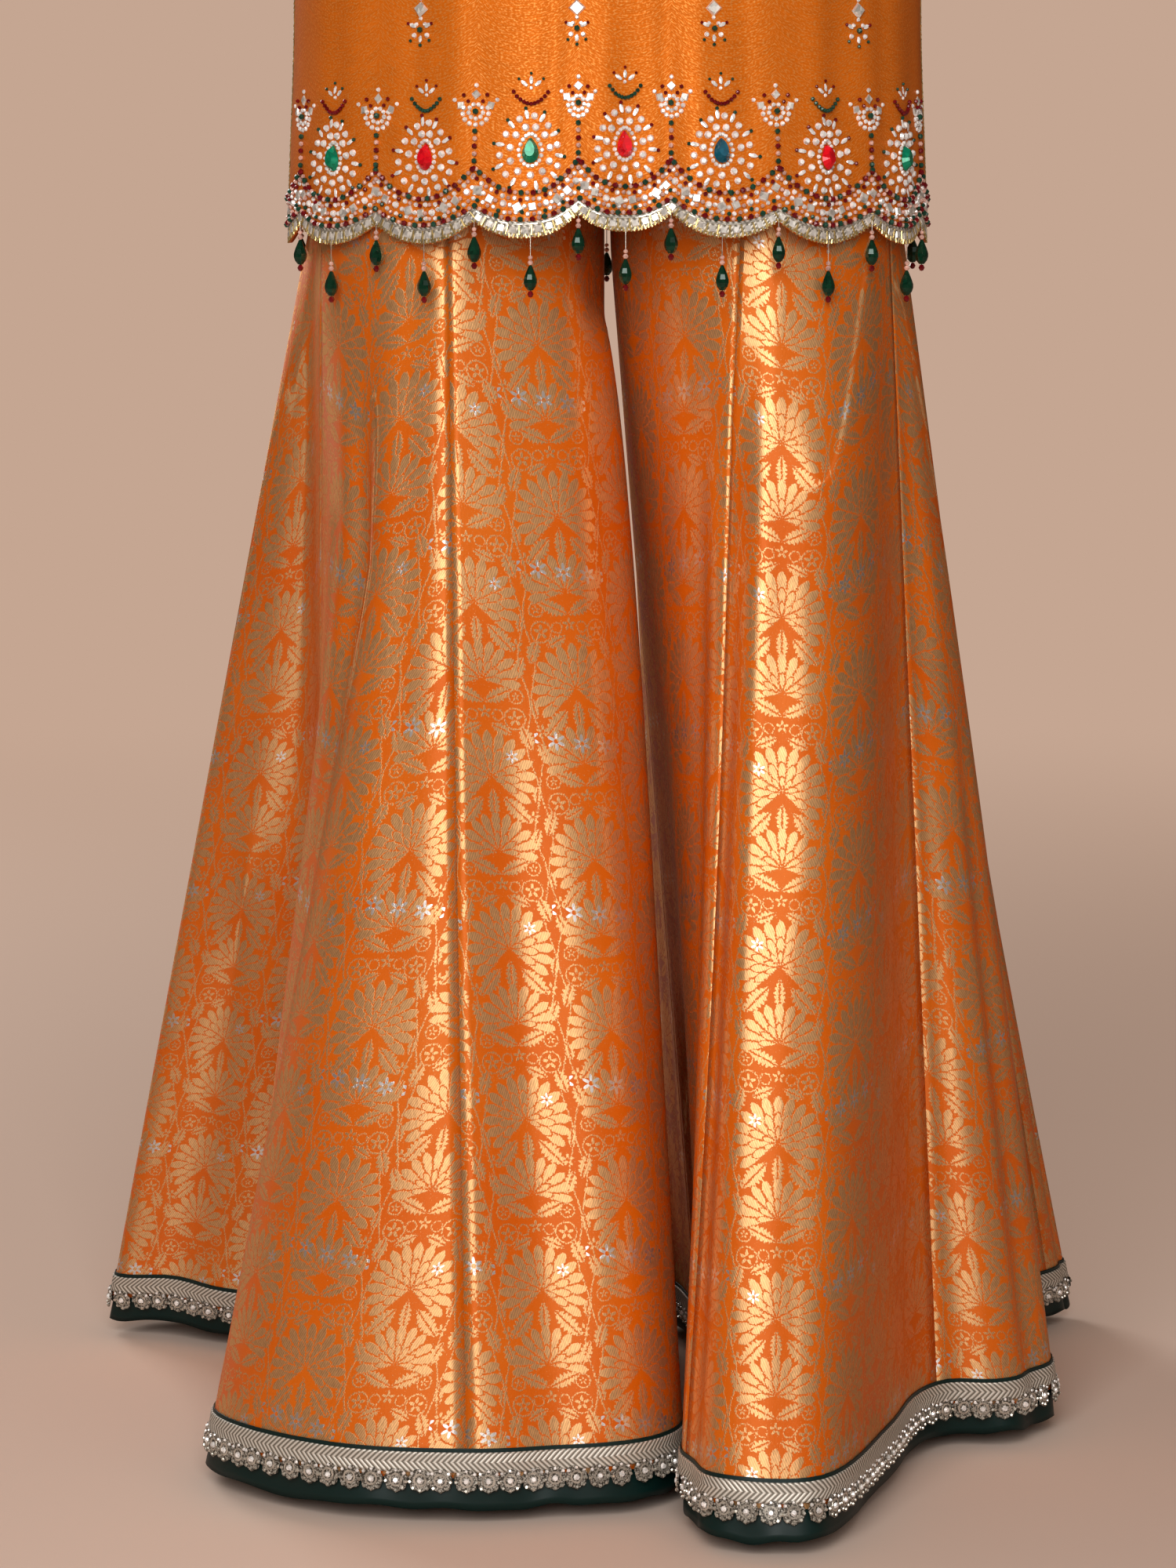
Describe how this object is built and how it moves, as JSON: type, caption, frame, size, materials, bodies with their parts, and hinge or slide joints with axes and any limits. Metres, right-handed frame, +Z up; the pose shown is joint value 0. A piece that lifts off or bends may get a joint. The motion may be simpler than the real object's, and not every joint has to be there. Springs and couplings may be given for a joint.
{
  "type": "palazzo suit",
  "caption": "Worn palazzo suit: short tunic with side slits and a beaded, scalloped hem over long trousers with very wide flared legs and a lace edge.",
  "frame": {"origin": "middle of the trousers' waist opening, level with the waistband's top edge, where the wearer holds the trousers up", "axes": "+Z up, the wearer faces -Y, +X towards the wearer's left"},
  "size_m": [0.7394, 0.682, 1.4999],
  "materials": {
    "brocade": "orange silk with a gold brocade figure, satin sheen",
    "tissue_silk": "orange tissue silk with a fine golden grain",
    "green_facing": "dark green satin",
    "silver_lace": "silver thread lace with sequins and stones",
    "bead_edging": "silver squares, gold bugles and dark green faceted drops"
  },
  "bodies": {
    "root": {"trousers_right_inner_front": "brocade", "trousers_right_outer_front": "brocade", "trousers_right_side": "brocade", "trousers_right_outer_back": "brocade", "trousers_right_inner_back": "brocade", "trousers_left_inner_front": "brocade", "trousers_left_outer_front": "brocade", "trousers_left_side": "brocade", "trousers_left_outer_back": "brocade", "trousers_left_inner_back": "brocade", "waistband": "brocade", "tunic_front": "tissue_silk", "tunic_back": "tissue_silk", "neckband": "tissue_silk", "sleeve_right": "tissue_silk", "sleeve_left": "tissue_silk", "facing_right": "green_facing", "facing_left": "green_facing", "lace_right": "silver_lace", "lace_left": "silver_lace", "edging_front": "bead_edging", "edging_back": "bead_edging"}
  },
  "joints": []
}
